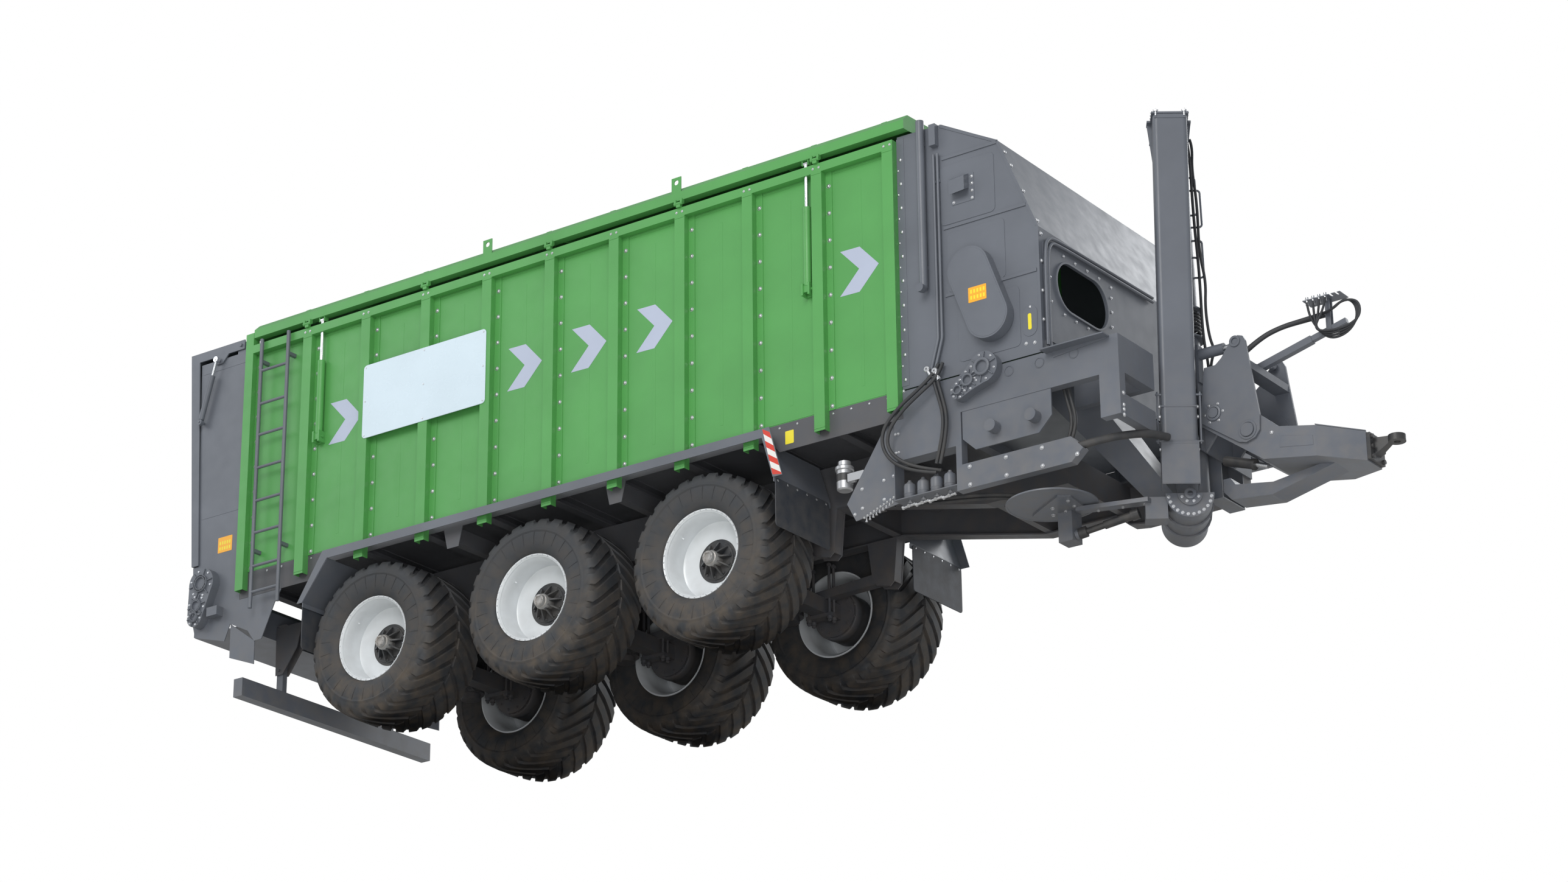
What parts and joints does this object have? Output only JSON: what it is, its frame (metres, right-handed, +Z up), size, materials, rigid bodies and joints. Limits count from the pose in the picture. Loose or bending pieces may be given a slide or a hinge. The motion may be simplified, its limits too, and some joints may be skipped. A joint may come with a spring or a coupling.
{
  "type": "grain cart",
  "caption": "Closed triple-axle grain transfer wagon with a ribbed green body, two roof lids, front hopper, folding side unloading auger and sprung drawbar.",
  "frame": {"origin": "on the ground, under the middle of the overall length and width", "axes": "+X forwards to the towing eye, +Y to the wagon's left, +Z up"},
  "size_m": [11.07, 2.64, 3.94],
  "materials": {
    "green_paint": "satin green paint",
    "grey_paint": "satin blue-grey paint",
    "zinc_steel": "bright zinc plate",
    "sign_white": "smooth",
    "black_rubber": "matt",
    "silver_paint": "silver paint",
    "tyre_rubber": "matt",
    "chrome_rod": "polished",
    "black_steel": "satin",
    "raw_steel": "mill finish",
    "filter_aluminium": "cast"
  },
  "bodies": {
    "wagon": {"chassis_frame": "grey_paint", "floor_frame": "grey_paint", "right_side_wall": "green_paint", "left_side_wall": "green_paint", "wall_bolts": "zinc_steel", "front_hopper": "grey_paint", "front_subframe": "grey_paint", "rear_housing": "grey_paint", "chain_case": "grey_paint", "front_gearbox": "grey_paint", "rear_gearbox": "grey_paint", "hydraulic_pipes": "grey_paint", "lid_cylinder_barrels": "green_paint", "grey_cylinder_barrels": "grey_paint", "ladder": "grey_paint", "sign_panel": "sign_white", "mudguards": "grey_paint", "mud_flaps": "black_rubber", "rear_air_springs": "black_rubber", "middle_air_springs": "black_rubber", "front_air_springs": "black_rubber", "drawbar_mount": "grey_paint", "lift_tube": "grey_paint", "auger_boot": "grey_paint", "drive_disc": "grey_paint", "accumulators": "black_steel", "hydraulic_filter": "filter_aluminium"},
    "right_lid": {"right_roof_lid": "green_paint"},
    "left_lid": {"left_roof_lid": "green_paint"},
    "right_lid_rod_pair": {"right_lid_rods": "chrome_rod"},
    "left_lid_rod_pair": {"left_lid_rods": "chrome_rod"},
    "rear_door": {"tailgate": "grey_paint"},
    "rear_door_rods": {"tailgate_rods": "chrome_rod"},
    "bumper": {"underrun_bumper": "grey_paint"},
    "drawbar": {"drawbar_beam": "grey_paint", "towing_eye": "black_steel", "hose_arm": "grey_paint", "hydraulic_hoses": "black_rubber"},
    "drawbar_rods": {"suspension_rods": "chrome_rod"},
    "folding_tube": {"unloading_tube": "grey_paint"},
    "spout": {"discharge_spout": "grey_paint"},
    "lift_auger": {"lift_screw": "raw_steel"},
    "unloading_auger": {"unloading_screw": "raw_steel"},
    "roller": {"dosing_roller": "raw_steel"},
    "drive_shaft": {"pto_shaft": "black_steel"},
    "rear_axle_body": {"rear_axle": "grey_paint"},
    "rear_right_wheel": {"rear_right_rim": "silver_paint", "rear_right_tyre": "tyre_rubber"},
    "rear_left_wheel": {"rear_left_rim": "silver_paint", "rear_left_tyre": "tyre_rubber"},
    "middle_axle_body": {"middle_axle": "grey_paint"},
    "middle_right_wheel": {"middle_right_rim": "silver_paint", "middle_right_tyre": "tyre_rubber"},
    "middle_left_wheel": {"middle_left_rim": "silver_paint", "middle_left_tyre": "tyre_rubber"},
    "front_axle_body": {"front_axle": "grey_paint"},
    "front_right_wheel": {"front_right_rim": "silver_paint", "front_right_tyre": "tyre_rubber"},
    "front_left_wheel": {"front_left_rim": "silver_paint", "front_left_tyre": "tyre_rubber"}
  },
  "joints": [
    {"name": "rear_axle_travel", "type": "hinge", "parent": "wagon", "child": "rear_axle_body", "pos_m": [-2.68, 0, 0.8], "axis": [0, 1, 0], "range_deg": [-3, 3], "stiffness_Nm_per_rad": 450000, "springref_deg": -2.29, "deforming": ["rear_air_springs"]},
    {"name": "rear_right_wheel_spin", "type": "hinge", "parent": "rear_axle_body", "child": "rear_right_wheel", "pos_m": [-3.28, 0, 0.68], "axis": [0, 1, 0], "continuous": true},
    {"name": "rear_left_wheel_spin", "type": "hinge", "parent": "rear_axle_body", "child": "rear_left_wheel", "pos_m": [-3.28, 0, 0.68], "axis": [0, 1, 0], "continuous": true},
    {"name": "middle_axle_travel", "type": "hinge", "parent": "wagon", "child": "middle_axle_body", "pos_m": [-0.99, 0, 0.8], "axis": [0, 1, 0], "range_deg": [-3, 3], "stiffness_Nm_per_rad": 450000, "springref_deg": -2.29, "deforming": ["middle_air_springs"]},
    {"name": "middle_right_wheel_spin", "type": "hinge", "parent": "middle_axle_body", "child": "middle_right_wheel", "pos_m": [-1.59, 0, 0.68], "axis": [0, 1, 0], "continuous": true},
    {"name": "middle_left_wheel_spin", "type": "hinge", "parent": "middle_axle_body", "child": "middle_left_wheel", "pos_m": [-1.59, 0, 0.68], "axis": [0, 1, 0], "continuous": true},
    {"name": "front_axle_travel", "type": "hinge", "parent": "wagon", "child": "front_axle_body", "pos_m": [0.7, 0, 0.8], "axis": [0, 1, 0], "range_deg": [-3, 3], "stiffness_Nm_per_rad": 450000, "springref_deg": -2.29, "deforming": ["front_air_springs"]},
    {"name": "front_right_wheel_spin", "type": "hinge", "parent": "front_axle_body", "child": "front_right_wheel", "pos_m": [0.1, 0, 0.68], "axis": [0, 1, 0], "continuous": true},
    {"name": "front_left_wheel_spin", "type": "hinge", "parent": "front_axle_body", "child": "front_left_wheel", "pos_m": [0.1, 0, 0.68], "axis": [0, 1, 0], "continuous": true},
    {"name": "right_lid_hinge", "type": "hinge", "parent": "wagon", "child": "right_lid", "pos_m": [0, -1.287, 3.693], "axis": [1, 0, 0], "range_deg": [0, 95]},
    {"name": "left_lid_hinge", "type": "hinge", "parent": "wagon", "child": "left_lid", "pos_m": [0, 1.287, 3.693], "axis": [-1, 0, 0], "range_deg": [0, 95]},
    {"name": "right_lid_rods_slide", "type": "slide", "parent": "wagon", "child": "right_lid_rod_pair", "axis": [0, 0, 1], "range_m": [0, 0.031]},
    {"name": "left_lid_rods_slide", "type": "slide", "parent": "wagon", "child": "left_lid_rod_pair", "axis": [0, 0, 1], "range_m": [0, 0.031]},
    {"name": "tailgate_hinge", "type": "hinge", "parent": "wagon", "child": "rear_door", "pos_m": [-4.93, 0, 3.73], "axis": [0, 1, 0], "range_deg": [0, 60]},
    {"name": "tailgate_rods_slide", "type": "slide", "parent": "wagon", "child": "rear_door_rods", "axis": [0.2777, 0, 0.9607], "range_m": [0, 0.278]},
    {"name": "bumper_fold", "type": "hinge", "parent": "wagon", "child": "bumper", "pos_m": [-4.78, 0, 0.82], "axis": [0, 1, 0], "range_deg": [0, 70]},
    {"name": "drawbar_pivot", "type": "hinge", "parent": "wagon", "child": "drawbar", "pos_m": [4.166, 0, 1.147], "axis": [0, 1, 0], "range_deg": [-5, 5]},
    {"name": "suspension_rods_slide", "type": "slide", "parent": "wagon", "child": "drawbar_rods", "axis": [1, 0, 0], "range_m": [-0.05, 0.05]},
    {"name": "unloading_tube_fold", "type": "hinge", "parent": "wagon", "child": "folding_tube", "pos_m": [3.90563, -0.30564, 3.58533], "axis": [-0.8385, -0.5445, 0.0209], "range_deg": [0, 180]},
    {"name": "spout_hinge", "type": "hinge", "parent": "folding_tube", "child": "spout", "pos_m": [3.94176, -0.46341, 0.92992], "axis": [-0.8385, -0.5445, 0.0209], "range_deg": [0, 50]},
    {"name": "unloading_screw_spin", "type": "hinge", "parent": "folding_tube", "child": "unloading_auger", "pos_m": [3.95599, -0.44225, 2.04967], "axis": [0.0176, 0.0114, 0.9998], "continuous": true},
    {"name": "pto_spin", "type": "hinge", "parent": "wagon", "child": "drive_shaft", "pos_m": [3.16, -0.63, 0.33], "axis": [0.9604, 0.2043, 0.1895], "continuous": true},
    {"name": "lift_screw_spin", "type": "hinge", "parent": "wagon", "child": "lift_auger", "pos_m": [3.85445, -0.16241, 2.04916], "axis": [-0.0113, -0.0073, 0.9999], "continuous": true},
    {"name": "dosing_roller_spin", "type": "hinge", "parent": "wagon", "child": "roller", "pos_m": [2.765, 0, 2.15], "axis": [0, 1, 0], "continuous": true}
  ],
  "couplings": [
    {"joint": "right_lid_rods_slide", "follows": "right_lid_hinge", "m_per_rad": 0.0185},
    {"joint": "left_lid_rods_slide", "follows": "left_lid_hinge", "m_per_rad": 0.0185},
    {"joint": "tailgate_rods_slide", "follows": "tailgate_hinge", "m_per_rad": 0.2646},
    {"joint": "suspension_rods_slide", "follows": "drawbar_pivot", "m_per_rad": 0.52}
  ]
}
